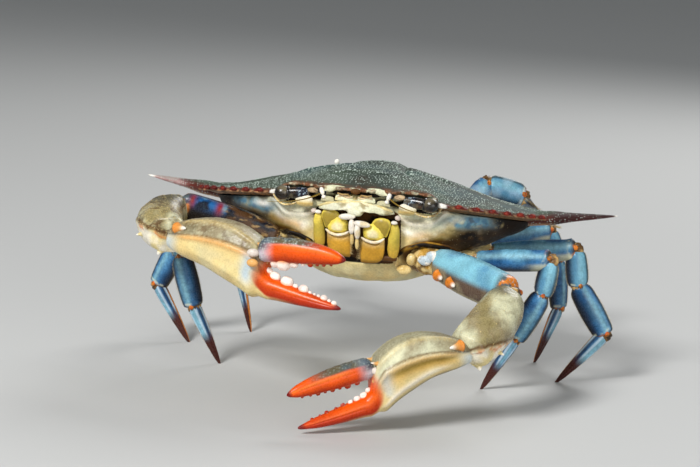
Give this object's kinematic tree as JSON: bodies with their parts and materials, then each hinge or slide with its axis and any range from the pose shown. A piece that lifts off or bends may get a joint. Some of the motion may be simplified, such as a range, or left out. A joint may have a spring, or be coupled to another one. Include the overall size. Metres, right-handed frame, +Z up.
{
  "type": "blue swimming crab",
  "caption": "Life-size swimming crab with a wide domed shell drawn out into a long spine at each side, two claws, walking legs and flat hind paddles, standing.",
  "frame": {"origin": "on the ground, under the middle of the crab's box", "axes": "+X to the crab's left, +Y to its rear so that it faces -Y, +Z up"},
  "size_m": [0.151, 0.1658, 0.0652],
  "materials": {
    "carapace": "satin, dark grey-green with pale granules",
    "underside": "satin, cream",
    "leg": "satin, blue",
    "arm": "satin, sky blue",
    "palm": "satin, tan over cream",
    "finger": "smooth, orange-red",
    "mouth": "satin, yellow",
    "eye": "glossy, near black",
    "feeler": "satin, brown"
  },
  "bodies": {
    "root": {"carapace": "carapace", "thorax": "underside", "abdomen": "underside", "eye_left": "eye", "antenna_left": "feeler", "jaw_foot_left": "mouth", "claw_left_basis": "underside", "claw_left_merus": "arm", "claw_left_carpus": "palm", "claw_left_propodus": "palm", "claw_left_dactyl": "finger", "leg_1_left_basis": "underside", "leg_1_left_merus": "leg", "leg_1_left_carpus": "leg", "leg_1_left_propodus": "leg", "leg_1_left_dactyl": "leg", "leg_2_left_basis": "underside", "leg_2_left_merus": "leg", "leg_2_left_carpus": "leg", "leg_2_left_propodus": "leg", "leg_2_left_dactyl": "leg", "leg_3_left_basis": "underside", "leg_3_left_merus": "leg", "leg_3_left_carpus": "leg", "leg_3_left_propodus": "leg", "leg_3_left_dactyl": "leg", "swim_leg_left_basis": "underside", "swim_leg_left_merus": "leg", "swim_leg_left_carpus": "leg", "swim_leg_left_propodus": "leg", "swim_leg_left_dactyl": "leg", "eye_right": "eye", "antenna_right": "feeler", "jaw_foot_right": "mouth", "claw_right_basis": "underside", "claw_right_merus": "arm", "claw_right_carpus": "palm", "claw_right_propodus": "palm", "claw_right_dactyl": "finger", "leg_1_right_basis": "underside", "leg_1_right_merus": "leg", "leg_1_right_carpus": "leg", "leg_1_right_propodus": "leg", "leg_1_right_dactyl": "leg", "leg_2_right_basis": "underside", "leg_2_right_merus": "leg", "leg_2_right_carpus": "leg", "leg_2_right_propodus": "leg", "leg_2_right_dactyl": "leg", "leg_3_right_basis": "underside", "leg_3_right_merus": "leg", "leg_3_right_carpus": "leg", "leg_3_right_propodus": "leg", "leg_3_right_dactyl": "leg", "swim_leg_right_basis": "underside", "swim_leg_right_merus": "leg", "swim_leg_right_carpus": "leg", "swim_leg_right_propodus": "leg", "swim_leg_right_dactyl": "leg"}
  },
  "joints": []
}
